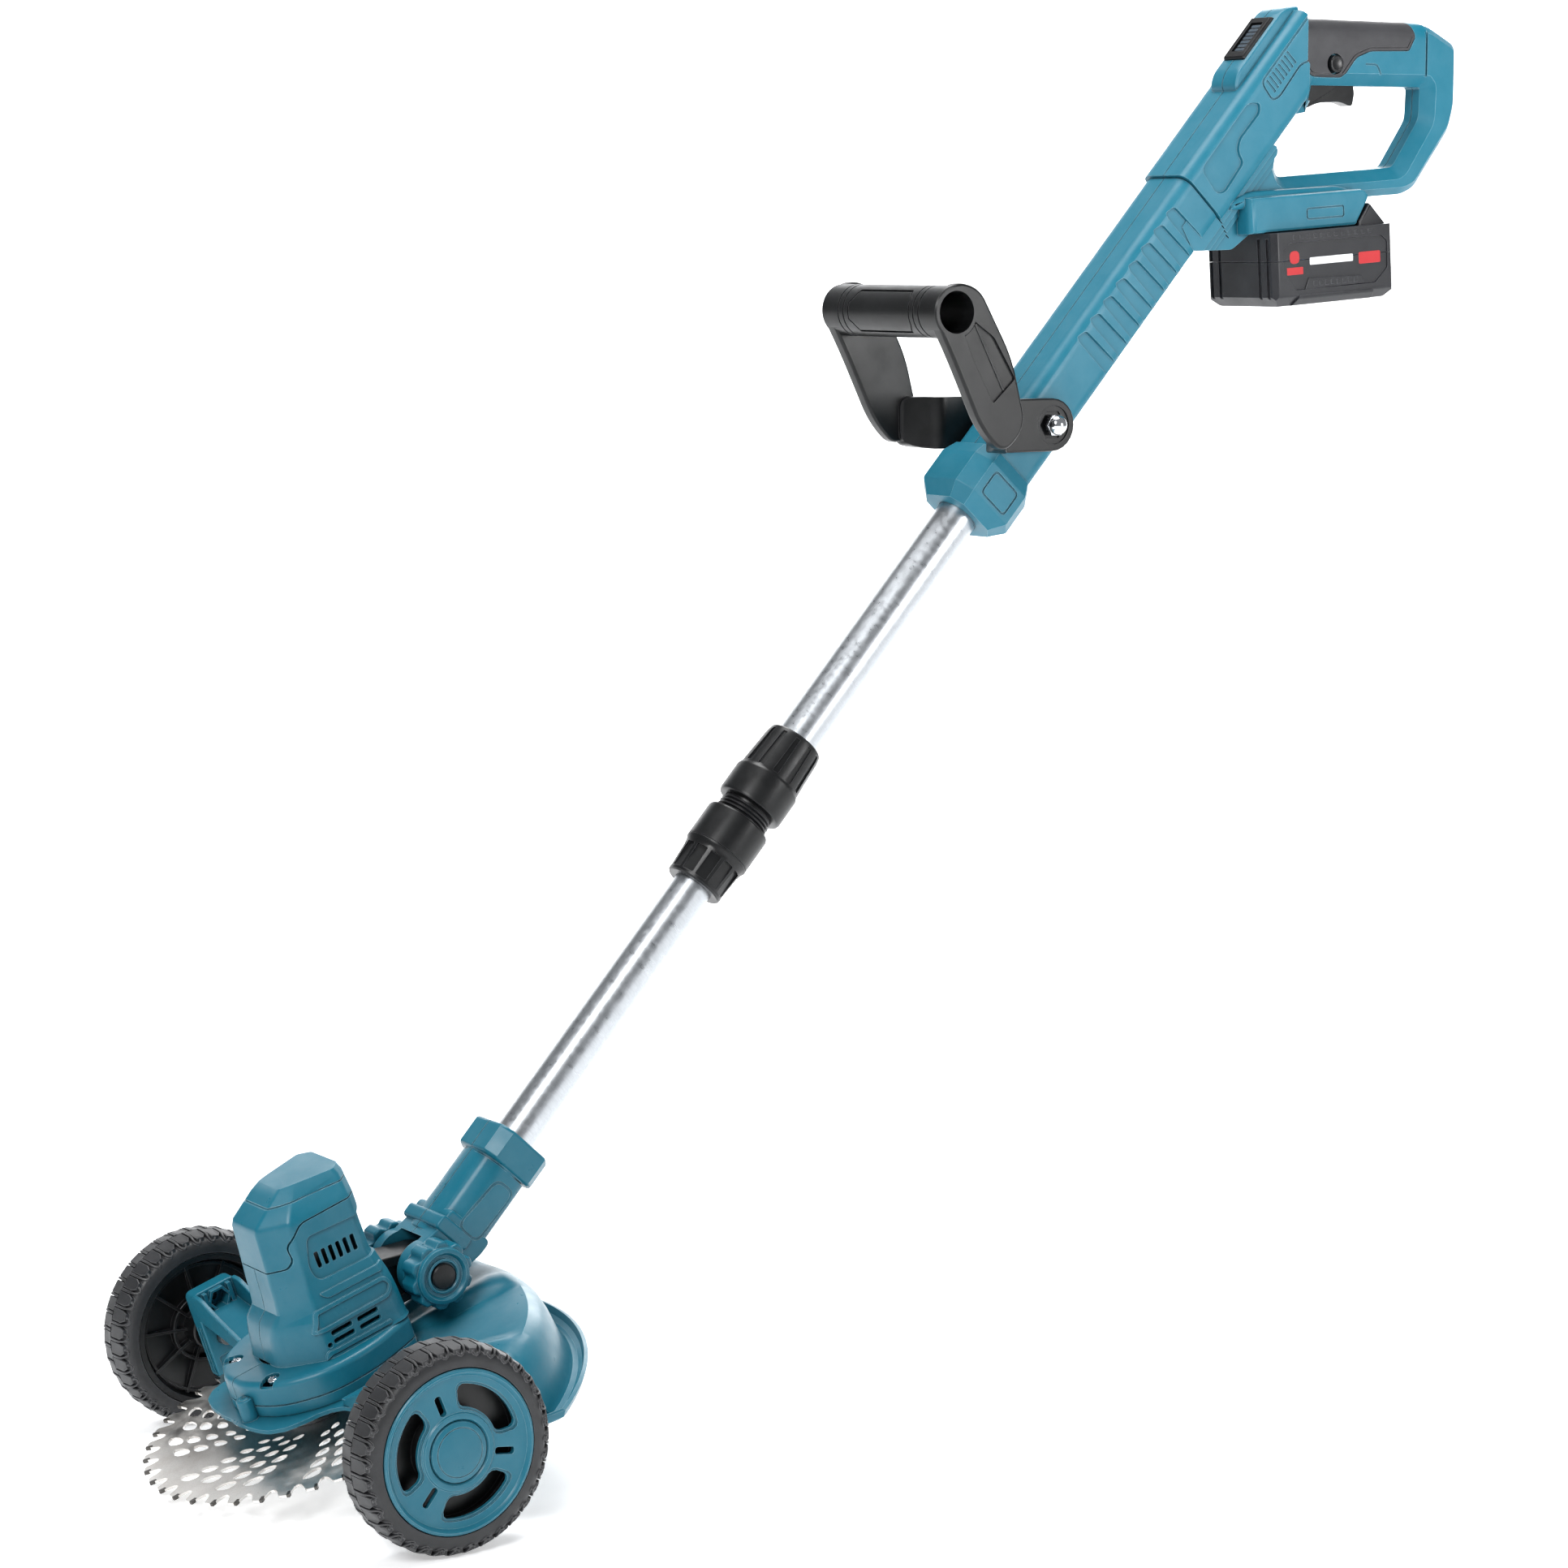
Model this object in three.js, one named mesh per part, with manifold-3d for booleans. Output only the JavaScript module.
// Wheeled cordless lawn edger: an assembly of separate solids, in millimetres, +Z up.
// The design is drawn about the wheel axle: +X runs back towards the operator, -Y is the operator's left.
// The finished group is then moved so that its origin is the middle of the foot of its bounding box.
import * as THREE from "three";
import { mergeVertices } from "three/addons/utils/BufferGeometryUtils.js";
import Module from "manifold-3d";

const wasm = await Module();
wasm.setup();

// ---- Driving dimensions ------------------------------------------------------------------------------------

const GAP = 0.3; // clearance left between any two pieces

const WHEEL = { radius: 65, tread: 62.6, rim: 51, width: 32, track: 167, lugs: 36, hub: 19, bore: 5.4 };
const AXLE = { radius: 5, head: 9 };

const HEAD = { x: -1.5, z: -17.2, lean: 19.03 }; // blade centre, and the angle the motor axis leans forward
const BLADE = { radius: 113, thickness: 1.6, teeth: 40, bore: 12.7 };
const GUARD = { rim: 173, thickness: 2.6, top: 22, hole: 16 };
const CASE = { bottom: 22.4, split: 30, shoulder: 45 };
const MOTOR = { offset: 26.4, radius: 18.5, bottom: 52, top: 114 };
const GEARS = { module: 1.1, pinion: 12, wheel: 36, low: 33.5, high: 40.5 };
const TILT = { a: 55.8, b: 94.9, x: 70, z: 66.5 }; // tilt axis, in the head's frame and in the design frame

const SHAFT = { x: 163.1, z: 159.2, angle: 42.2 }; // a point on the pole's axis, and its angle from vertical
const LOWER_TUBE = { radius: 13.3, wall: 1.2, from: -105, to: 330 };
const UPPER_TUBE = { radius: 14.5, wall: 0.9, from: 222, to: 640 };
const LOCK = { sleeve: 17.6, low: 178, gapLow: 232, gapHigh: 243, high: 300 };

const HANDLE = { start: 541.3, step: 787, halfX: 22, halfY: 23, wall: 2.6, rear: 786, top: 876 };
const RING = { halfWidth: 16, bevel: 5 };
const BATTERY = { x: 741, z: 718, tilt: 4, length: 115, halfWidth: 37.5, depth: 52 };
const LOCK_OFF = { x: 817, z: 838 };
const AUX = { gripX: 447.5, gripZ: 666.4, boltX: 553, boltZ: 589, halfLength: 66, radius: 17.5, bore: 14, boltHole: 4.4 };

// ---- Materials ---------------------------------------------------------------------------------------------

const finish = (color, roughness, metalness) => new THREE.MeshStandardMaterial({ color, roughness, metalness });

const MATERIAL = {
  teal: finish(0x1f7391, 0.42, 0),
  tealLight: finish(0x4a94ad, 0.42, 0),
  black: finish(0x1b1c1f, 0.45, 0),
  rubber: finish(0x2b2c2f, 0.75, 0),
  tyre: finish(0x3a3b3d, 0.8, 0),
  aluminium: finish(0xc9cdd0, 0.35, 1),
  steel: finish(0x8b8987, 0.4, 1),
  chrome: finish(0xdfe2e6, 0.12, 1),
  battery: finish(0x2a2b30, 0.55, 0),
  board: finish(0x1f5f38, 0.5, 0),
  window: finish(0x0a0a0c, 0.15, 0),
};

// ---- Geometry helpers --------------------------------------------------------------------------------------

// A closed solid from any closed three.js geometry, turned the right way out.
function solidOf(geometry) {
  const bare = geometry.index ? geometry.toNonIndexed() : geometry.clone();
  bare.deleteAttribute("normal");
  bare.deleteAttribute("uv");
  const merged = mergeVertices(bare, 1e-4);
  const corners = Array.from(merged.index.array);
  const triVerts = [];
  for (let i = 0; i < corners.length; i += 3) {
    const [p, q, r] = corners.slice(i, i + 3);
    if (p !== q && q !== r && r !== p) triVerts.push(p, q, r);
  }
  const build = (triangles) =>
    new wasm.Manifold(
      new wasm.Mesh({
        numProp: 3,
        vertProperties: merged.attributes.position.array,
        triVerts: new Uint32Array(triangles),
      }),
    );
  const solid = build(triVerts);
  return solid.volume() < 0 ? build(triVerts.reverse()) : solid;
}

const join = (first, ...rest) => rest.reduce((sum, piece) => sum.add(piece), first);
const cut = (first, ...rest) => rest.reduce((left, piece) => left.subtract(piece), first);

// The same solid after a three.js matrix.
function moved(solid, matrix) {
  return solidOf(geometryOf(solid).applyMatrix4(matrix));
}

function geometryOf(solid) {
  const { numProp, vertProperties, triVerts } = solid.getMesh();
  const positions = new Float32Array((vertProperties.length / numProp) * 3);
  for (let i = 0; i < positions.length / 3; i++) {
    positions.set(vertProperties.subarray(i * numProp, i * numProp + 3), i * 3);
  }
  return new THREE.BufferGeometry()
    .setAttribute("position", new THREE.BufferAttribute(positions, 3))
    .setIndex(Array.from(triVerts));
}

const box = (x0, x1, y0, y1, z0, z1) =>
  solidOf(
    new THREE.BoxGeometry(x1 - x0, y1 - y0, z1 - z0).translate((x0 + x1) / 2, (y0 + y1) / 2, (z0 + z1) / 2),
  );

// A round bar along Z, at (x, y).
const barZ = (radius, z0, z1, { x = 0, y = 0, sides = 18 } = {}) =>
  solidOf(
    new THREE.CylinderGeometry(radius, radius, z1 - z0, sides).rotateX(Math.PI / 2).translate(x, y, (z0 + z1) / 2),
  );

// A round bar along Y, at (x, z).
const barY = (radius, y0, y1, { x = 0, z = 0, sides = 18 } = {}) =>
  solidOf(new THREE.CylinderGeometry(radius, radius, y1 - y0, sides).translate(x, (y0 + y1) / 2, z));

// A solid of revolution about Z from a closed profile of [radius, z] points.
function turned(profile, sides = 24) {
  const points = [...profile, profile[0]].map(([r, z]) => new THREE.Vector2(r, z));
  return solidOf(new THREE.LatheGeometry(points, sides).rotateX(Math.PI / 2));
}

// An outline of [x, y, radius] corners, each rounded by its radius.
function outline(corners) {
  const shape = new THREE.Shape();
  corners.forEach(([x, y, radius = 0], i) => {
    const here = new THREE.Vector2(x, y);
    const before = new THREE.Vector2(...corners.at(i - 1)).sub(here);
    const after = new THREE.Vector2(...corners[(i + 1) % corners.length]).sub(here);
    const reach = Math.min(radius, before.length() / 2.2, after.length() / 2.2);
    const enter = before.setLength(reach).add(here);
    const leave = after.setLength(reach).add(here);
    if (i === 0) shape.moveTo(enter.x, enter.y);
    else shape.lineTo(enter.x, enter.y);
    if (reach > 0) shape.quadraticCurveTo(x, y, leave.x, leave.y);
  });
  shape.closePath();
  return shape;
}

const roundedRectangle = (halfX, halfY, radius) =>
  outline([
    [-halfX, -halfY, radius],
    [halfX, -halfY, radius],
    [halfX, halfY, radius],
    [-halfX, halfY, radius],
  ]);

// An outline in XY pushed along Z from z0 to z1.
function plateZ(shape, z0, z1, { bevel = 0, curve = 3 } = {}) {
  return new THREE.ExtrudeGeometry(shape, {
    depth: z1 - z0 - 2 * bevel,
    curveSegments: curve,
    bevelEnabled: bevel > 0,
    bevelSize: bevel,
    bevelThickness: bevel,
    bevelOffset: -bevel,
    bevelSegments: bevel > 3 ? 2 : 1,
  }).translate(0, 0, z0 + bevel);
}

const extrudedZ = (shape, z0, z1, options) => solidOf(plateZ(shape, z0, z1, options));

// An outline drawn in XZ and pushed along Y from y0 to y1.
const extrudedY = (shape, y0, y1, options) =>
  solidOf(plateZ(shape, -y1, -y0, options).rotateX(Math.PI / 2));

// An outline drawn in YZ and pushed along X from x0 to x1.
const extrudedX = (shape, x0, x1, options) =>
  solidOf(plateZ(shape, x0, x1, options).rotateX(Math.PI / 2).rotateZ(Math.PI / 2));

// A closed skin through rings of equally many points, with flat ends.
function loft(rings) {
  const count = rings[0].length;
  const positions = rings.flat().flatMap((p) => [p.x, p.y, p.z]);
  const index = [];
  for (let k = 0; k + 1 < rings.length; k++) {
    for (let i = 0; i < count; i++) {
      const a = k * count + i;
      const b = k * count + ((i + 1) % count);
      index.push(a, b, b + count, a, b + count, a + count);
    }
  }
  const last = (rings.length - 1) * count;
  for (let i = 1; i + 1 < count; i++) {
    index.push(0, i + 1, i);
    index.push(last, last + i, last + i + 1);
  }
  const geometry = new THREE.BufferGeometry();
  geometry.setAttribute("position", new THREE.Float32BufferAttribute(positions, 3));
  geometry.setIndex(index);
  return solidOf(geometry);
}

const toRadians = THREE.MathUtils.degToRad;
const SIDES = [
  ["left", -1],
  ["right", 1],
];
// The half of a solid on one side of the middle plane, short of it by half a gap.
const FAR = 400;
function halfOf(solid, sign) {
  const [y0, y1] = sign < 0 ? [-FAR, -GAP / 2] : [GAP / 2, FAR];
  return solid.intersect(box(-FAR, 3 * FAR, y0, y1, -FAR, 3 * FAR));
}

// ---- Frames ------------------------------------------------------------------------------------------------

const design = new THREE.Group();

function frameAt(x, z, degreesAboutY) {
  const frame = new THREE.Group();
  frame.position.set(x, 0, z);
  frame.rotation.y = toRadians(degreesAboutY);
  frame.updateMatrix();
  design.add(frame);
  return frame;
}

const headFrame = frameAt(HEAD.x, HEAD.z, -HEAD.lean); // +Z up the motor axis, +X back
const shaftFrame = frameAt(SHAFT.x, SHAFT.z, SHAFT.angle); // +Z up the pole, -X its upper side
const batteryFrame = frameAt(BATTERY.x, BATTERY.z, -BATTERY.tilt); // +X along the battery

function place(frame, name, solid, material) {
  const mesh = new THREE.Mesh(geometryOf(solid), material.clone());
  mesh.name = name;
  frame.add(mesh);
}

// ---- Wheels ------------------------------------------------------------------------------------------------
// Each is drawn with its axis on Z and its outer face towards +Z, then turned to face outwards.

const HUB_SIDES = 20;

function treadOutline() {
  const pitch = (2 * Math.PI) / WHEEL.lugs;
  const shape = new THREE.Shape();
  for (let i = 0; i < WHEEL.lugs; i++) {
    const corners = [
      [WHEEL.tread, -0.5],
      [WHEEL.tread, 0.26],
      [WHEEL.radius, 0.3],
      [WHEEL.radius, 0.46],
    ];
    for (const [radius, part] of corners) {
      const angle = (i + part) * pitch;
      const point = [radius * Math.cos(angle), radius * Math.sin(angle)];
      if (i === 0 && part < 0) shape.moveTo(...point);
      else shape.lineTo(...point);
    }
  }
  shape.closePath();
  const hole = new THREE.Path().absarc(0, 0, WHEEL.rim, 0, 2 * Math.PI, true);
  shape.holes.push(hole);
  return shape;
}

function tyre() {
  const half = WHEEL.width / 2;
  return extrudedZ(treadOutline(), -half, half, { curve: 14 });
}

function wheelCore() {
  const half = WHEEL.width / 2;
  const rim = WHEEL.rim - GAP;
  const profile = [
    [WHEEL.bore, -half - 2],
    [13, -half - 2],
    [15, -2],
    [rim - 5, -5],
    [rim - 4, -half + 1],
    [rim, -half + 1],
    [rim, half - 5.3],
    [rim - 4, half - 5.3],
    [rim - 5, -1.5],
    [15, 1.5],
    [13, half - 7],
    [WHEEL.bore, half - 7],
  ];
  return turned(profile, 28);
}

// The trim has three windows between spokes, each spoke with a slot, and a raised ring outside.
function wheelTrim() {
  const outer = WHEEL.rim - GAP;
  const disc = new THREE.Shape().absarc(0, 0, outer, 0, 2 * Math.PI, false);
  for (const spoke of [0, 120, 240]) {
    const from = toRadians(spoke + 22);
    const to = toRadians(spoke + 98);
    const window = new THREE.Path();
    window.absarc(0, 0, 41, from, to, false);
    window.absarc(0, 0, 27, to - 0.08, from + 0.08, true);
    window.closePath();
    disc.holes.push(window);
  }
  const half = WHEEL.width / 2;
  const plate = extrudedZ(disc, half - 5, half - 1, { curve: 7 });
  const ring = turned(
    [
      [outer, half - 1.5],
      [outer, half + 0.5],
      [outer - 2, half + 1.5],
      [outer - 7, half - 1.5],
    ],
    28,
  );
  const slot = extrudedZ(
    outline([
      [24, -2.1, 2],
      [38.7, -2.1, 2],
      [38.7, 2.1, 2],
      [24, 2.1, 2],
    ]),
    half - 3,
    half + 2,
    { curve: 2 },
  );
  const slots = [0, 120, 240].map((angle) => moved(slot, new THREE.Matrix4().makeRotationZ(toRadians(angle))));
  const hubHole = barZ(WHEEL.hub + GAP, half - 6, half + 2, { sides: HUB_SIDES });
  return cut(join(plate, ring), hubHole, ...slots);
}

function hubCap() {
  const face = WHEEL.width / 2;
  return turned(
    [
      [0, face - 4],
      [WHEEL.hub, face - 4],
      [WHEEL.hub, face - 1],
      [WHEEL.hub - 2.5, face + 0.3],
      [11, face + 1.4],
      [0, face + 1.7],
    ],
    HUB_SIDES,
  );
}

// A shoulder bolt: its head sits in the wheel under the hub cap, and its nut end is in the bracket.
function axleBolt() {
  const head = barZ(AXLE.head, WHEEL.width / 2 - 6.6, WHEEL.width / 2 - 4.4, { sides: 6 });
  return join(head, barZ(AXLE.radius, 125.5 - WHEEL.track, WHEEL.width / 2 - 6.5));
}

for (const [side, sign] of SIDES) {
  const wheel = new THREE.Group();
  wheel.position.y = sign * WHEEL.track;
  wheel.rotation.x = (-sign * Math.PI) / 2;
  design.add(wheel);
  place(wheel, `tyre_${side}`, tyre(), MATERIAL.tyre);
  place(wheel, `wheel_core_${side}`, wheelCore(), MATERIAL.black);
  place(wheel, `wheel_trim_${side}`, wheelTrim(), MATERIAL.teal);
  place(wheel, `hub_cap_${side}`, hubCap(), MATERIAL.teal);
  place(wheel, `axle_bolt_${side}`, axleBolt(), MATERIAL.steel);
}

// ---- Blade and its clamp -----------------------------------------------------------------------------------

// Teeth have a steep front and a long back, each behind a round-bottomed gullet.
function bladeOutline() {
  const shape = new THREE.Shape();
  const pitch = (2 * Math.PI) / BLADE.teeth;
  const corners = [
    [BLADE.radius - 9, 0.0],
    [BLADE.radius - 10, 0.22],
    [BLADE.radius - 4, 0.5],
    [BLADE.radius, 0.86],
    [BLADE.radius - 5, 0.92],
  ];
  for (let i = 0; i < BLADE.teeth; i++) {
    corners.forEach(([radius, part], k) => {
      const angle = (i + part) * pitch;
      const point = [radius * Math.cos(angle), radius * Math.sin(angle)];
      if (i + k === 0) shape.moveTo(...point);
      else shape.lineTo(...point);
    });
  }
  shape.closePath();
  shape.holes.push(new THREE.Path().absarc(0, 0, BLADE.bore, 0, 2 * Math.PI, true));
  return shape;
}

// Leaf-shaped holes in rings, larger further out.
const PERFORATIONS = [
  { radius: 90, count: 15, length: 13, width: 6.5 },
  { radius: 72, count: 15, length: 10, width: 5.5 },
  { radius: 52, count: 10, length: 9, width: 5 },
];

function blade() {
  const shape = bladeOutline();
  for (const { radius, count, length, width } of PERFORATIONS) {
    for (let i = 0; i < count; i++) {
      const turn = (2 * Math.PI * i) / count;
      const corner = (along, across) => {
        const angle = turn + across / radius;
        return [(radius + along) * Math.cos(angle), (radius + along) * Math.sin(angle)];
      };
      const leaf = new THREE.Path();
      leaf.moveTo(...corner(-width / 2, 0));
      leaf.lineTo(...corner(0, -length / 2));
      leaf.lineTo(...corner(width / 2, 0));
      leaf.lineTo(...corner(0, length / 2));
      leaf.closePath();
      shape.holes.push(leaf);
    }
  }
  return extrudedZ(shape, -BLADE.thickness / 2, BLADE.thickness / 2, { curve: 10 });
}

place(headFrame, "saw_blade", blade(), MATERIAL.steel);
place(
  headFrame,
  "blade_flange_upper",
  cut(
    turned([
      [0, -0.5],
      [BLADE.bore - GAP, -0.5],
      [BLADE.bore - GAP, 1.1],
      [24, 1.1],
      [24, 3.4],
      [14, 6],
      [11, 14],
      [0, 14],
    ]),
    barZ(5.3, -5, 20),
  ),
  MATERIAL.steel,
);
place(
  headFrame,
  "blade_flange_lower",
  cut(
    turned([
      [0, -3.6],
      [18, -3.6],
      [21, -2.6],
      [21, -1.1],
      [0, -1.1],
    ]),
    barZ(5.3, -5, 0),
  ),
  MATERIAL.steel,
);
place(headFrame, "blade_nut", cut(barZ(9.5, -11, -3.9, { sides: 6 }), barZ(5.3, -12, 0)), MATERIAL.steel);

// ---- Gears, spindle and motor ------------------------------------------------------------------------------

// A spur gear with straight-sided teeth, thinned at the pitch circle for running clearance.
function gear(teeth, bore, phase) {
  const pitchRadius = (GEARS.module * teeth) / 2;
  const step = (2 * Math.PI) / teeth;
  const flank = [
    [pitchRadius - 1.3 * GEARS.module, 0.31],
    [pitchRadius + 0.85 * GEARS.module, 0.1],
  ];
  const shape = new THREE.Shape();
  for (let i = 0; i < teeth; i++) {
    const rising = flank.map(([radius, part]) => [radius, i - part]);
    const falling = [...flank].reverse().map(([radius, part]) => [radius, i + part]);
    [...rising, ...falling].forEach(([radius, turns], k) => {
      const angle = (turns + phase) * step;
      const point = [radius * Math.cos(angle), radius * Math.sin(angle)];
      if (i + k === 0) shape.moveTo(...point);
      else shape.lineTo(...point);
    });
  }
  shape.closePath();
  shape.holes.push(new THREE.Path().absarc(0, 0, bore, 0, 2 * Math.PI, true));
  return extrudedZ(shape, GEARS.low, GEARS.high, { curve: 8 });
}

const MOTOR_SHAFT = 2.5;
const atMotor = new THREE.Matrix4().makeTranslation(MOTOR.offset, 0, 0);
place(headFrame, "driven_gear", gear(GEARS.wheel, 5.3, 0), MATERIAL.steel);
place(headFrame, "pinion", moved(gear(GEARS.pinion, MOTOR_SHAFT + GAP, 0.5), atMotor), MATERIAL.steel);
place(headFrame, "spindle", join(barZ(5, -14, 43.5), barZ(7, 14.4, 25)), MATERIAL.steel);
place(headFrame, "motor_shaft", barZ(MOTOR_SHAFT, GEARS.low, MOTOR.top - 6, { x: MOTOR.offset }), MATERIAL.steel);
const bearing = (z0, z1) => cut(barZ(10.5, z0, z1), barZ(5.3, z0 - 1, z1 + 1));
place(headFrame, "spindle_bearing_lower", bearing(25.4, 32.4), MATERIAL.chrome);
place(headFrame, "spindle_bearing_upper", bearing(41.2, 46.8), MATERIAL.chrome);
place(
  headFrame,
  "motor",
  cut(
    join(
      barZ(MOTOR.radius, MOTOR.bottom, MOTOR.top, { x: MOTOR.offset, sides: 24 }),
      barZ(8, MOTOR.bottom - 3.5, MOTOR.bottom + 1, { x: MOTOR.offset }),
    ),
    barZ(MOTOR_SHAFT + GAP, MOTOR.bottom - 5, MOTOR.top - 5.5, { x: MOTOR.offset }),
  ),
  MATERIAL.steel,
);

// ---- Head casings ------------------------------------------------------------------------------------------
// Each level of the column is an eight-cornered ring: a narrow front, widest at the shoulder, chamfered behind.

const COLUMN = [
  { a: 44.9, front: -21, frontHalf: 20, shoulder: 4, shoulderHalf: 46, rear: 67, rearHalf: 44 },
  { a: 62, front: -19, frontHalf: 19, shoulder: 4, shoulderHalf: 44, rear: 66, rearHalf: 42 },
  { a: 76, front: -9, frontHalf: 18, shoulder: 6, shoulderHalf: 40, rear: 64, rearHalf: 40 },
  { a: 94, front: -8, frontHalf: 18, shoulder: 9, shoulderHalf: 34, rear: 60, rearHalf: 36 },
  { a: 130, front: -5.5, frontHalf: 17, shoulder: 12, shoulderHalf: 31, rear: 61, rearHalf: 34 },
  { a: 134, front: -3.5, frontHalf: 16.5, shoulder: 13, shoulderHalf: 30, rear: 61, rearHalf: 33 },
  { a: 146.8, front: 14.5, frontHalf: 14, shoulder: 24, shoulderHalf: 18.5, rear: 60, rearHalf: 22 },
  { a: 149.4, front: 21.5, frontHalf: 12.5, shoulder: 28, shoulderHalf: 15.5, rear: 58, rearHalf: 19 },
];
const REAR_CHAMFER = 7;

function columnRing({ a, front, frontHalf, shoulder, shoulderHalf, rear, rearHalf }, inset) {
  const half = [
    [front + inset, frontHalf - inset * 0.7],
    [shoulder + inset * 0.3, shoulderHalf - inset],
    [rear - REAR_CHAMFER - inset * 0.4, rearHalf - inset],
    [rear - inset, rearHalf - REAR_CHAMFER - inset * 0.4],
  ];
  const mirrored = [...half].reverse().map(([b, y]) => [b, -y]);
  return [...half, ...mirrored].map(([b, y]) => new THREE.Vector3(b, y, a));
}

const column = (inset, raise = 0) =>
  loft(COLUMN.map((level) => columnRing({ ...level, a: level.a + raise }, inset)));

// The flat casing at the foot of the head: a blunt nose in front and a rounded tail.
const BASE_HALF = [
  [-46, 11, 6],
  [-34, 38, 16],
  [-6, 56, 20],
  [30, 55, 20],
  [63, 42, 6],
  [66, 34, 4],
];
function baseShape(inset) {
  const shrink = ([b, y, r]) => [b - Math.sign(b) * inset, y - inset, r];
  const upper = BASE_HALF.map(shrink);
  const lower = [...upper].reverse().map(([b, y, r]) => [b, -y, r]);
  return outline([...upper, ...lower]);
}

const WALL = 2.6;
const baseBlock = (inset, a0, a1, bevel = 0) => extrudedZ(baseShape(inset), a0, a1, { bevel, curve: 3 });
const gearRoom = join(
  barZ(22.4, CASE.bottom + WALL + 0.3, 45.5, { sides: 24 }),
  barZ(10, CASE.bottom + WALL + 0.3, 49.5, { x: MOTOR.offset }),
);

place(
  headFrame,
  "gear_case",
  cut(
    baseBlock(0, CASE.bottom, CASE.split),
    baseBlock(WALL, CASE.bottom + 7, CASE.split + 1),
    gearRoom,
    barZ(8, CASE.bottom - 2, CASE.bottom + 4),
  ),
  MATERIAL.teal,
);

// The parting line of the cap: it drops lower round the front nose than along the sides.
const capRegion = (shift) =>
  extrudedY(
    outline([
      [-40, 103 - shift],
      [8 + shift, 103 - shift],
      [11 + shift, 120 - shift],
      [20 + shift, 129.5 - shift],
      [58, 130 - shift],
      [90, 121 - shift],
      [90, 175],
      [-40, 175],
    ]),
    -60,
    60,
  );

const motorRoom = barZ(MOTOR.radius + GAP, 49.4, 140, { x: MOTOR.offset, sides: 24 });
const columnRoom = column(WALL, -WALL).intersect(box(-60, 90, -60, 60, 50.5, 160));
const baseRoom = cut(baseBlock(WALL, CASE.split - 1, 42.4), box(-60, -24, -9, 9, 20, 60));

// Cooling slots cut straight through both side walls.
function ventSlots() {
  const slots = [];
  for (let i = 0; i < 6; i++) {
    const b = 19.5 + i * 5.2;
    slots.push(box(b, b + 2.6, -60, 60, 99, 110));
  }
  for (const [row, b0] of [
    [54.5, 17],
    [59, 19],
  ]) {
    slots.push(box(b0, b0 + 9, -60, 60, row, row + 2.4));
    slots.push(box(b0 + 12, b0 + 21, -60, 60, row, row + 2.4));
  }
  return slots;
}

const headShell = cut(
  join(baseBlock(0, CASE.split + GAP, CASE.shoulder, 2.5), column(0)),
  capRegion(GAP),
  baseRoom,
  columnRoom,
  motorRoom,
  gearRoom,
  barZ(10.8, 40.9, 47.1),
  ...ventSlots(),
);
for (const [side, sign] of SIDES) {
  place(headFrame, `motor_housing_${side}`, halfOf(headShell, sign), MATERIAL.teal);
}
place(headFrame, "motor_cap", cut(column(0), columnRoom, cut(column(-5), capRegion(0))), MATERIAL.teal);

// ---- Tilt joint --------------------------------------------------------------------------------------------

const KNOB = { radius: 22, lobes: 10, inner: 23.6, outer: 42 };

const lugShape = outline([
  [62, 40, 2],
  [90, 40, 8],
  [TILT.b + 13, 47, 9],
  [TILT.b + 13, 66, 9],
  [88, 70, 9],
  [62, 76, 2],
]);
place(
  headFrame,
  "tilt_lug",
  cut(
    extrudedY(lugShape, -13, 13),
    column(-GAP),
    baseBlock(-GAP, CASE.split, CASE.shoulder + GAP),
    barY(4.4, -20, 20, { x: TILT.b, z: TILT.a }),
  ),
  MATERIAL.black,
);

// A scalloped hand knob with a stepped hub, facing +Z.
function knob() {
  const rim = new THREE.Shape();
  const steps = KNOB.lobes * 3;
  for (let i = 0; i < steps; i++) {
    const radius = KNOB.radius - (i % 3 === 0 ? 3 : 0);
    const angle = (2 * Math.PI * i) / steps;
    const point = [radius * Math.cos(angle), radius * Math.sin(angle)];
    if (i === 0) rim.moveTo(...point);
    else rim.lineTo(...point);
  }
  rim.closePath();
  const body = extrudedZ(rim, KNOB.inner, KNOB.outer - 3.5);
  const crown = turned([
    [0, KNOB.inner + 1],
    [18.6, KNOB.inner + 1],
    [18.6, KNOB.outer - 1.5],
    [17, KNOB.outer],
    [14.5, KNOB.outer],
    [13.2, KNOB.outer - 2],
    [9, KNOB.outer - 2],
    [8, KNOB.outer - 0.4],
    [0, KNOB.outer - 0.4],
  ]);
  return cut(join(body, crown), barZ(4.4, KNOB.inner - 1, KNOB.outer - 4));
}

for (const [side, sign] of SIDES) {
  const pivot = new THREE.Group();
  pivot.position.set(TILT.x, 0, TILT.z);
  pivot.rotation.x = (-sign * Math.PI) / 2;
  design.add(pivot);
  place(pivot, `tilt_knob_${side}`, knob(), MATERIAL.teal);
}
place(design, "tilt_bolt", barY(4, -KNOB.outer + 4.6, KNOB.outer - 4.6, TILT), MATERIAL.steel);

// ---- Guard and wheel brackets ------------------------------------------------------------------------------

// The guard's radial profile behind the blade: flat, then domed, then a skirt with a turned-out rim.
const HOOD = [
  [GUARD.hole, 22],
  [60, 22],
  [95, 25.5],
  [130, 29.5],
  [150, 26],
  [159, 14],
  [164, -17],
  [168, -18.5],
  [GUARD.rim, -13],
];

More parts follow.
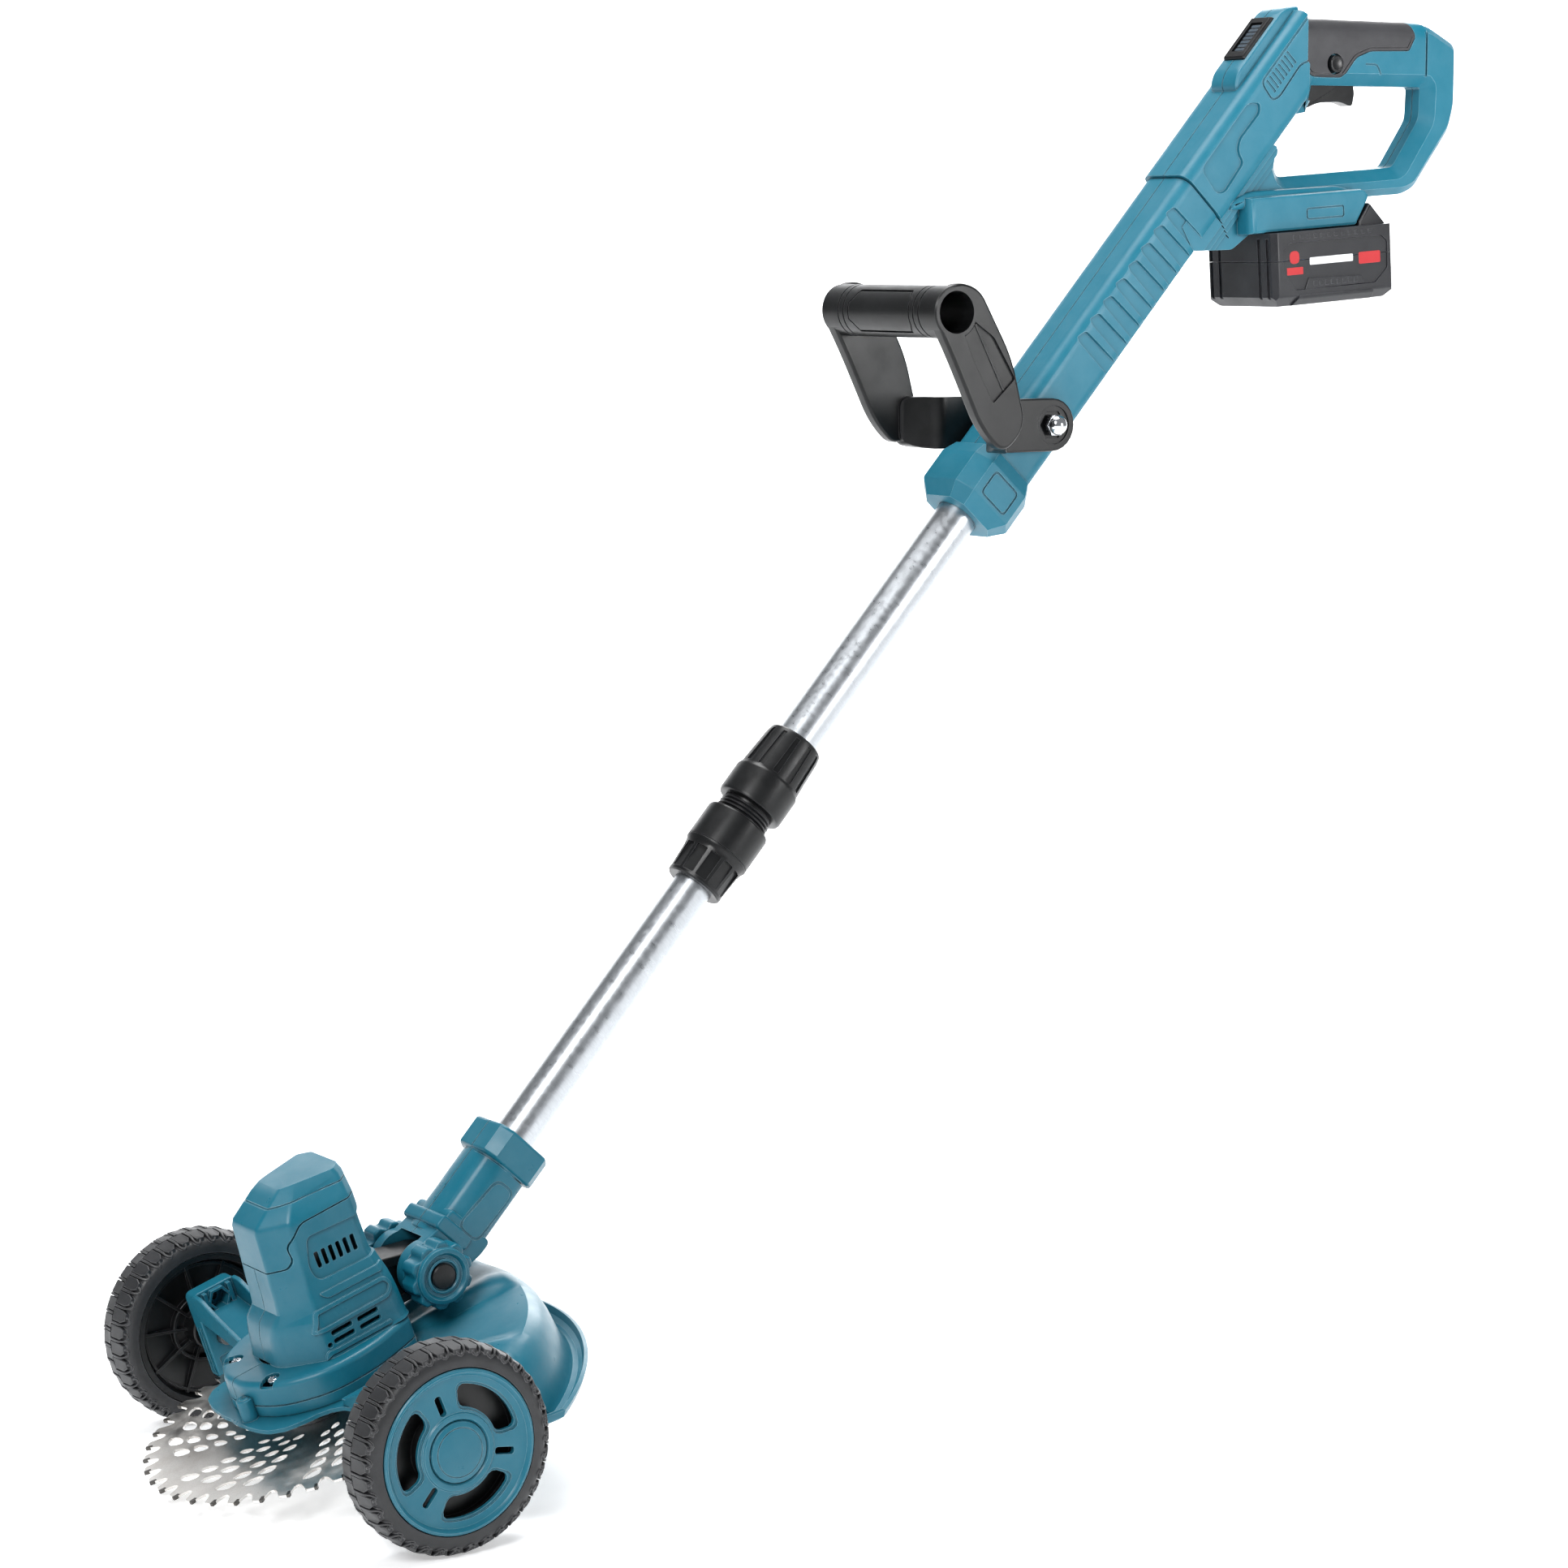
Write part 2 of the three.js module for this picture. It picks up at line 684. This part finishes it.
// How far the guard reaches at an angle from straight back: a wide hood behind, and a blunt nose in front.
const REACH = [
  [0, GUARD.rim],
  [56, GUARD.rim],
  [64, 140],
  [74, 118],
  [88, 84],
  [100, 66],
  [118, 64],
  [140, 67],
  [160, 59],
  [180, 55],
];
const HOOD_ENDS = { full: 58, none: 80 };
const GUARD_STEPS = 36;

function reachAt(degrees) {
  const k = Math.max(1, REACH.findIndex(([angle]) => angle >= degrees));
  const [angle0, reach0] = REACH[k - 1];
  const [angle1, reach1] = REACH[k];
  return THREE.MathUtils.mapLinear(degrees, angle0, angle1, reach0, reach1);
}

// One radial strip of the guard: [radius, height] of its skin, blended from hood to flat plate round the front.
function guardStrip(degrees) {
  const flatness = THREE.MathUtils.smoothstep(degrees, HOOD_ENDS.full, HOOD_ENDS.none);
  const scale = (reachAt(degrees) - GUARD.hole) / (GUARD.rim - GUARD.hole);
  return HOOD.map(([radius, height]) => [
    GUARD.hole + (radius - GUARD.hole) * scale,
    THREE.MathUtils.lerp(height, GUARD.top, flatness),
  ]);
}

// The strip's inner side, one thickness below or inside the skin.
function innerSide(strip) {
  return strip.map(([radius, height], i) => {
    const [r0, h0] = strip[Math.max(0, i - 1)];
    const [r1, h1] = strip[Math.min(strip.length - 1, i + 1)];
    const length = Math.hypot(r1 - r0, h1 - h0);
    const offset = GUARD.thickness / length;
    const inward = i === 0 ? radius : radius + (h1 - h0) * offset;
    return [inward, height - (r1 - r0) * offset];
  });
}

function guard() {
  const positions = [];
  const index = [];
  const rows = 2 * HOOD.length;
  for (let k = 0; k < GUARD_STEPS; k++) {
    const degrees = (360 * k) / GUARD_STEPS;
    const fromRear = Math.min(degrees, 360 - degrees);
    const strip = guardStrip(fromRear);
    const loop = [...strip, ...innerSide(strip).reverse()];
    for (const [radius, height] of loop) {
      positions.push(radius * Math.cos(toRadians(degrees)), radius * Math.sin(toRadians(degrees)), height);
    }
    const next = (k + 1) % GUARD_STEPS;
    for (let i = 0; i < rows; i++) {
      const j = (i + 1) % rows;
      index.push(k * rows + i, next * rows + i, next * rows + j, k * rows + i, next * rows + j, k * rows + j);
    }
  }
  const geometry = new THREE.BufferGeometry();
  geometry.setAttribute("position", new THREE.Float32BufferAttribute(positions, 3));
  geometry.setIndex(index);
  return solidOf(geometry);
}

const post = barZ(5, 21, 36, { x: -47, y: -14, sides: 14 });
const postRoom = baseBlock(-GAP, 22.1, 60);
place(headFrame, "guard", cut(join(guard(), post), postRoom), MATERIAL.teal);

const BRACKET = { front: -5, rear: 28, inner: 131, outer: 143.5, low: -12, high: 51, rib: 3.5 };
const AXLE_IN_HEAD = { a: 15.77, b: 7.03 };

// A channel-shaped arm that climbs from the guard to an upright post, with a spare axle seat above the axle.
function bracket() {
  const floor = outline([
    [62, 22.4],
    [80, 22.4],
    [BRACKET.inner + 1, 33],
    [BRACKET.inner + 1, 37],
    [80, 26.5],
    [62, 26.5],
  ]);
  const flange = outline([
    [66, 22.4],
    [82, 22.4],
    [BRACKET.inner + 1, 32],
    [BRACKET.inner + 1, BRACKET.high],
    [122, BRACKET.high - 1],
    [66, 27],
  ]);
  const upright = box(
    BRACKET.front,
    BRACKET.rear,
    BRACKET.inner,
    BRACKET.outer,
    BRACKET.low,
    BRACKET.high,
  );
  return cut(
    join(
      extrudedX(floor, BRACKET.front, BRACKET.rear),
      extrudedX(flange, BRACKET.front, BRACKET.front + BRACKET.rib),
      extrudedX(flange, BRACKET.rear - BRACKET.rib, BRACKET.rear),
      upright,
    ),
    barY(7.5, BRACKET.inner - 1, BRACKET.inner + 6, { x: 11.5, z: 43, sides: 6 }),
    barY(AXLE.radius + GAP, BRACKET.inner - 2, BRACKET.outer + 2, { x: AXLE_IN_HEAD.b, z: AXLE_IN_HEAD.a }),
  );
}
const mirrorY = new THREE.Matrix4().makeScale(1, -1, 1);
const guardRoom = [-GAP, 0, GAP].map((raise) => moved(guard(), new THREE.Matrix4().makeTranslation(0, 0, raise)));
place(headFrame, "wheel_bracket_right", cut(bracket(), ...guardRoom), MATERIAL.teal);
place(headFrame, "wheel_bracket_left", cut(moved(bracket(), mirrorY), ...guardRoom), MATERIAL.teal);

// ---- Neck, pole and twist lock -----------------------------------------------------------------------------

const tube = ({ radius, wall, from, to }) =>
  cut(barZ(radius, from, to, { sides: 24 }), barZ(radius - wall, from - 1, to + 1, { sides: 24 }));
place(shaftFrame, "lower_tube", tube(LOWER_TUBE), MATERIAL.aluminium);

const PIVOT = { x: -6.7, z: -131.3 }; // the tilt axis in the pole's frame
const NECK = { half: 19, halfY: 21, ear: 19, earInner: 13.4, earOuter: 23, top: -28, bottom: -112 };

function neck() {
  const ears = barY(NECK.ear, -NECK.earOuter, NECK.earOuter, { ...PIVOT, sides: 24 });
  const web = extrudedY(
    outline([
      [PIVOT.x - NECK.ear + 1, PIVOT.z, 0],
      [PIVOT.x + NECK.ear - 1, PIVOT.z, 0],
      [NECK.half, NECK.bottom + 10, 4],
      [NECK.half, NECK.bottom + 20, 4],
      [-NECK.half, NECK.bottom + 20, 4],
      [-NECK.half, NECK.bottom + 4, 4],
    ]),
    -NECK.halfY,
    NECK.halfY,
    { bevel: 2 },
  );
  const body = extrudedZ(roundedRectangle(NECK.half, NECK.halfY, 8), NECK.bottom, -45, { curve: 3 });
  const flange = extrudedZ(roundedRectangle(NECK.half + 3.5, NECK.halfY + 1.5, 8), -49, NECK.top, {
    bevel: 3,
  });
  return cut(
    join(ears, web, body, flange),
    barZ(LOWER_TUBE.radius + GAP, NECK.bottom + 5, 0, { sides: 24 }),
    barY(NECK.ear + 1.5, -NECK.earInner, NECK.earInner, { ...PIVOT, sides: 24 }),
    box(-30, 30, -NECK.earInner, NECK.earInner, PIVOT.z - 30, PIVOT.z + 4),
    barY(4.4, -30, 30, PIVOT),
  );
}
const neckShell = neck();
for (const [side, sign] of SIDES) {
  place(shaftFrame, `neck_shell_${side}`, halfOf(neckShell, sign), MATERIAL.teal);
}

place(
  shaftFrame,
  "lock_sleeve",
  cut(
    turned([
      [0, 196],
      [16, 196],
      [LOCK.sleeve, 200],
      [LOCK.sleeve, 280],
      [16, 284],
      [0, 284],
    ]),
    barZ(UPPER_TUBE.radius + GAP, 221.5, 300, { sides: 24 }),
    barZ(LOWER_TUBE.radius + GAP, 190, 300, { sides: 24 }),
  ),
  MATERIAL.black,
);

// A twist-lock nut: a smooth collar next to the gap and a ribbed, tapering grip beyond it.
const RIBS = 12;
function ribbedRing(z0, z1, inner, outer) {
  const shape = new THREE.Shape();
  for (let i = 0; i < RIBS; i++) {
    for (const [part, radius] of [
      [0, outer],
      [0.6, outer],
      [0.68, inner],
      [0.92, inner],
    ]) {
      const angle = ((i + part) * 2 * Math.PI) / RIBS;
      const point = [radius * Math.cos(angle), radius * Math.sin(angle)];
      if (i === 0 && part === 0) shape.moveTo(...point);
      else shape.lineTo(...point);
    }
  }
  shape.closePath();
  return extrudedZ(shape, z0, z1);
}

place(
  shaftFrame,
  "lock_nut_upper",
  cut(
    join(
      turned([
        [0, LOCK.gapHigh],
        [22.4, LOCK.gapHigh],
        [23.5, LOCK.gapHigh + 2],
        [23.5, 266],
        [20.5, 268],
        [18.6, LOCK.high],
        [0, LOCK.high],
      ]),
      ribbedRing(266, 296, 18.2, 21.6),
    ),
    barZ(LOCK.sleeve + GAP, 240, 287, { sides: 24 }),
    barZ(UPPER_TUBE.radius + GAP, 280, 310, { sides: 24 }),
  ),
  MATERIAL.black,
);
place(
  shaftFrame,
  "lock_nut_lower",
  cut(
    join(
      turned([
        [0, LOCK.low],
        [19.4, LOCK.low],
        [20.8, LOCK.low + 25],
        [23, LOCK.low + 27],
        [23, LOCK.gapLow - 2],
        [21.8, LOCK.gapLow],
        [0, LOCK.gapLow],
      ]),
      ribbedRing(LOCK.low + 2, LOCK.low + 27, 19, 22),
    ),
    barZ(LOCK.sleeve + GAP, 193, 240, { sides: 24 }),
    barZ(LOWER_TUBE.radius + GAP, 170, 200, { sides: 24 }),
  ),
  MATERIAL.black,
);

// ---- Handle shells -----------------------------------------------------------------------------------------

const collarRing = (z, half, chamfer) =>
  [
    [half, half - chamfer],
    [half - chamfer, half],
    [chamfer - half, half],
    [-half, half - chamfer],
    [-half, chamfer - half],
    [chamfer - half, -half],
    [half - chamfer, -half],
    [half, chamfer - half],
  ].map(([x, y]) => new THREE.Vector3(x, y, z));
place(
  shaftFrame,
  "front_collar",
  cut(
    loft([collarRing(497, 21.5, 8), collarRing(506, 28.6, 10), collarRing(532, 28.6, 10), collarRing(541, 25, 9)]),
    barZ(UPPER_TUBE.radius + GAP, 490, 550, { sides: 24 }),
  ),
  MATERIAL.tealLight,
);

// Along the pole: a lower barrel, and an upper barrel one step larger whose top is cut upright behind.
const lowerBarrel = extrudedZ(roundedRectangle(HANDLE.halfX, HANDLE.halfY, 9), HANDLE.start, HANDLE.step + 2);
const upperBarrel = extrudedZ(roundedRectangle(HANDLE.halfX + 2, HANDLE.halfY + 2, 9), HANDLE.step, 960);
const pod = extrudedY(
  outline([
    [-18, 850],
    [-27, 850, 3],
    [-32, 858, 4],
    [-32, 935, 4],
    [-22, 951, 3],
    [-10, 951],
  ]),
  -14,
  14,
  { bevel: 2 },
);
// Steps for the fingers along the underside of the lower barrel, one on each side.
function barrelSteps() {
  const steps = [];
  for (let i = 0; i < 8; i++) {
    const s = 641.5 + i * 16.3;
    steps.push(box(-17, 23, -30, -21.8, s, s + 9.6), box(-17, 23, 21.8, 30, s, s + 9.6));
  }
  return steps;
}

const ringShape = outline([
  [755, 815],
  [778, 840],
  [781, 869.5],
  [884, 870, 6],
  [909, 867, 6],
  [936, 854, 6],
  [936, 812, 6],
  [931, 794, 6],
  [898, 752, 6],
  [886, 747, 6],
  [762, 739],
  [745, 733],
  [728, 748],
  [738, 790],
]);
ringShape.holes.push(
  outline([
    [761, 782, 4],
    [771, 758, 4],
    [880, 766, 6],
    [905, 801, 6],
    [906, 824, 4],
    [802, 823],
    [797, 804],
    [785, 802],
    [775, 806],
  ]),
);
const ring = extrudedY(ringShape, -RING.halfWidth, RING.halfWidth, { bevel: RING.bevel });
const gusset = extrudedY(
  outline([
    [684, 706, 3],
    [724, 707, 3],
    [752, 726, 3],
    [762, 778, 3],
    [730, 790, 3],
    [672, 726, 3],
  ]),
  -19,
  19,
  { bevel: 2 },
);

const inShaft = shaftFrame.matrix;
const inBattery = batteryFrame.matrix;
const platform = moved(
  join(
    extrudedY(
      outline([
        [-8, 0.4],
        [86.4, 0.4],
        [98.6, 18],
        [100, 21],
        [95, 25],
        [-8, 25],
      ]),
      -30,
      30,
    ),
    box(-4, 74, -25, 25, 20, 30),
  ),
  inBattery,
);
const railRoom = moved(
  join(box(-1, 95, -16.5, 16.5, -1, 4.6), box(-1, 95, -20.5, 20.5, 4.2, 9), box(2, 30, -14, 14, 8, 22)),
  inBattery,
);

const room = {
  tube: moved(barZ(UPPER_TUBE.radius + GAP, 530, 641, { sides: 24 }), inShaft),
  barrel: moved(
    extrudedZ(roundedRectangle(HANDLE.halfX - HANDLE.wall, HANDLE.halfY - HANDLE.wall, 7), 640.5, 888),
    inShaft,
  ),
  trigger: box(797.5, 848, -6.7, 6.7, 798, 843),
  switch: box(803, 834, -7.2, 7.2, 842, 860),
  button: barY(6.5, -40, -6.5, LOCK_OFF),
  frontBolt: barY(AUX.boltHole, -60, 60, { x: AUX.boltX, z: AUX.boltZ }),
};

// The rubber covers the top of the grip and comes down in steps on both sides.
const overmouldRegion = (grow) =>
  extrudedY(
    outline([
      [784 - grow, 842 - grow],
      [800 - grow, 830 - grow],
      [825 + grow, 828 - grow],
      [838 + grow, 843 - grow],
      [852, 848 - grow],
      [886 + grow, 849 - grow],
      [892 + grow, 860],
      [888 + grow, 880],
      [784 - grow, 880],
    ]),
    -30,
    30,
  );
const gripCore = (grow) => box(780, 900, -13 - grow, 13 + grow, 800, 866.5 + grow);

const handleSolid = cut(
  join(
    moved(cut(lowerBarrel, ...barrelSteps()), inShaft),
    moved(upperBarrel, inShaft).intersect(box(600, HANDLE.rear, -30, 30, 600, HANDLE.top)),
    moved(pod, inShaft),
    ring,
    gusset,
    platform,
  ),
  cut(overmouldRegion(GAP), gripCore(-GAP)),
  room.tube,
  room.barrel,
  room.trigger,
  room.switch,
  room.button,
  room.frontBolt,
  railRoom,
  moved(box(-40, -30.4, -11.3, 11.3, 883, 923), inShaft),
);
for (const [side, sign] of SIDES) {
  place(design, `handle_shell_${side}`, halfOf(handleSolid, sign), MATERIAL.tealLight);
}
place(
  design,
  "grip_overmould",
  cut(ring.intersect(overmouldRegion(0)), gripCore(0), barY(7.2, -40, 0, LOCK_OFF)),
  MATERIAL.rubber,
);

// ---- Controls ----------------------------------------------------------------------------------------------

place(
  shaftFrame,
  "display_bezel",
  cut(
    extrudedX(
      outline([
        [-11, 883.3, 2],
        [11, 883.3, 2],
        [11, 922.7, 2],
        [-11, 922.7, 2],
      ]),
      -34,
      -30.7,
      { bevel: 1 },
    ),
    box(-40, -32.2, -6.3, 6.3, 889, 917),
  ),
  MATERIAL.black,
);
place(shaftFrame, "display_window", box(-33, -32.5, -6, 6, 889.3, 916.7), MATERIAL.window);
place(shaftFrame, "control_board", box(-16, -14.4, -15, 15, 835, 880), MATERIAL.board);

place(
  design,
  "trigger",
  extrudedY(
    outline([
      [800, 830, 2.5],
      [799, 806.5, 3],
      [811, 811, 6],
      [832, 812, 6],
      [843, 808.5, 2.5],
      [845, 818, 2.5],
      [842, 832, 2.5],
      [820, 836, 2.5],
    ]),
    -6.2,
    6.2,
    { bevel: 1 },
  ),
  MATERIAL.black,
);
place(design, "trigger_switch", box(804, 828, -6.5, 6.5, 843.5, 859), MATERIAL.black);

const SPRING = { x: 839, radius: 2.2, wire: 0.5, low: 834.2, high: 842.4, turns: 4 };
class Coil extends THREE.Curve {
  getPoint(t, target = new THREE.Vector3()) {
    const angle = 2 * Math.PI * SPRING.turns * t;
    return target.set(
      SPRING.x + SPRING.radius * Math.cos(angle),
      SPRING.radius * Math.sin(angle),
      THREE.MathUtils.lerp(SPRING.low, SPRING.high, t),
    );
  }
}
const wireShape = new THREE.Shape().absarc(0, 0, SPRING.wire, 0, 2 * Math.PI, false);
place(
  design,
  "trigger_spring",
  solidOf(
    new THREE.ExtrudeGeometry(wireShape, { steps: 8 * SPRING.turns, curveSegments: 2, extrudePath: new Coil() }),
  ),
  MATERIAL.steel,
);

place(design, "lock_off_button", barY(6, -18.5, -9, LOCK_OFF), MATERIAL.black);

// ---- Battery -----------------------------------------------------------------------------------------------

const packShape = (inset) =>
  outline([
    [2 + inset, -BATTERY.halfWidth + inset, 6],
    [2 + BATTERY.length - inset, -BATTERY.halfWidth + inset, 6],
    [2 + BATTERY.length - inset, BATTERY.halfWidth - inset, 6],
    [2 + inset, BATTERY.halfWidth - inset, 6],
  ]);
const CELL_ROOM = { x0: 7, x1: 112, y: 33.4, z0: -48.5, z1: -10 };
const cellRoom = box(CELL_ROOM.x0, CELL_ROOM.x1, -CELL_ROOM.y, CELL_ROOM.y, CELL_ROOM.z0, CELL_ROOM.z1);

place(
  batteryFrame,
  "battery_case_lower",
  cut(extrudedZ(packShape(0), -BATTERY.depth, -20.3, { bevel: 3.5 }), box(-5, 130, -50, 50, -20.6, 0), cellRoom),
  MATERIAL.battery,
);
const wedge = extrudedY(
  outline([
    [89, -6],
    [89, 3],
    [99.8, 16],
    [116.5, -2],
    [116.5, -12],
  ]),
  -30,
  30,
  { bevel: 2 },
);
place(
  batteryFrame,
  "battery_case_upper",
  cut(
    join(
      extrudedZ(packShape(0), -20.3, 0, { bevel: 2.5 }),
      box(3, 84, -16, 16, -2, 4.3),
      box(3, 84, -20, 20, 4.5, 8.5),
      box(3, 84, -16, 16, 4, 4.8),
      wedge,
    ),
    box(-5, 130, -50, 50, -24, -17.5),
    cellRoom,
    box(96, 108, -12, 12, -7.6, 20),
  ),
  MATERIAL.battery,
);

// Ten cells in two rows, welded into one block by nickel strips.
const CELL = { radius: 9, pitch: 18.6, halfLength: 32.5 };
function cellPack() {
  const cells = [];
  for (const z of [-38.8, -20.2]) {
    for (let i = 0; i < 5; i++) {
      const x = 18.6 + i * CELL.pitch + (z > -30 ? 3 : 0);
      cells.push(barY(CELL.radius, -CELL.halfLength, CELL.halfLength, { x, z, sides: 8 }));
    }
  }
  const strip = (y) => box(14, 100, y - 0.2, y + 0.2, -42, -17);
  return join(...cells, strip(-CELL.halfLength - 0.15), strip(CELL.halfLength + 0.15));
}
place(batteryFrame, "battery_cells", cellPack(), MATERIAL.window);

place(
  batteryFrame,
  "battery_latch",
  extrudedY(
    outline([
      [97, -4],
      [97, 9.5, 1],
      [99, 10.5, 1],
      [107, 3, 1],
      [107, -4],
    ]),
    -11.4,
    11.4,
  ),
  MATERIAL.black,
);
place(batteryFrame, "battery_terminals", box(6, 26, -11, 11, 10, 20), MATERIAL.board);

// ---- Front loop handle -------------------------------------------------------------------------------------

// One arm: a blade down from the grip, a bend in towards the barrel, and a flat ear on the bolt.
function auxArm() {
  const blade = extrudedY(
    outline([
      [427, 668, 12],
      [447, 686, 16],
      [466, 682, 8],
      [494, 636, 10],
      [506, 590, 14],
      [487, 574, 16],
      [468, 590, 12],
      [445, 636, 8],
    ]),
    56,
    AUX.halfLength,
    { bevel: 1.5, curve: 2 },
  );
  const bend = extrudedZ(
    outline([
      [478, 66],
      [500, 66, 10],
      [509, 56, 10],
      [514, 34],
      [524, 34],
      [524, 26],
      [508, 26, 6],
      [501, 50, 6],
      [496, 57.5, 3],
      [478, 57.5],
    ]),
    575.5,
    608,
    { bevel: 1, curve: 2 },
  );
  const ear = extrudedY(
    outline([
      [512, 573.5],
      [553, 571.7, 8],
      [570.3, 573, 15],
      [570.3, 606, 15],
      [553, 606.3, 8],
      [512, 610],
    ]),
    26,
    34,
    { bevel: 1, curve: 2 },
  );
  return join(blade, bend, ear);
}
const rightArm = auxArm();
const auxBore = barY(AUX.bore, -80, 80, { x: AUX.gripX, z: AUX.gripZ, sides: 24 });
const auxPin = barY(4.4, -60, 60, { x: AUX.boltX, z: AUX.boltZ });
place(
  design,
  "front_handle",
  cut(
    join(
      barY(AUX.radius, -AUX.halfLength, AUX.halfLength, { x: AUX.gripX, z: AUX.gripZ, sides: 24 }),
      rightArm,
      moved(rightArm, mirrorY),
    ),
    auxBore,
    auxPin,
  ),
  MATERIAL.black,
);

// The bolt passes through both ears, the barrel and the tube, with its head on the right.
place(
  design,
  "front_handle_bolt",
  join(
    barY(4, -40, 35, { x: AUX.boltX, z: AUX.boltZ }),
    barY(7.5, 34.4, 38.5, { x: AUX.boltX, z: AUX.boltZ, sides: 6 }),
  ),
  MATERIAL.steel,
);
const domeNut = cut(
  join(
    barZ(8, 34.4, 38, { sides: 6 }),
    turned(
      [
        [0, 37.9],
        [6.8, 37.9],
        [6.3, 41],
        [4, 43.6],
        [0, 44.6],
      ],
      18,
    ),
  ),
  barZ(4 + GAP, 30, 40.4),
);
const boltFrame = new THREE.Group();
boltFrame.position.set(AUX.boltX, 0, AUX.boltZ);
boltFrame.rotation.x = Math.PI / 2;
design.add(boltFrame);
place(boltFrame, "front_handle_nut", domeNut, MATERIAL.chrome);
place(
  shaftFrame,
  "upper_tube",
  cut(tube(UPPER_TUBE), moved(room.frontBolt, new THREE.Matrix4().copy(shaftFrame.matrix).invert())),
  MATERIAL.aluminium,
);

// ---- The finished part, with its origin in the middle of its foot ------------------------------------------

const part = new THREE.Group();
part.add(design);
design.updateMatrixWorld(true);
const bounds = new THREE.Box3().setFromObject(design, true);
const middle = bounds.getCenter(new THREE.Vector3());
design.position.set(-middle.x, -middle.y, -bounds.min.z);

export default part;
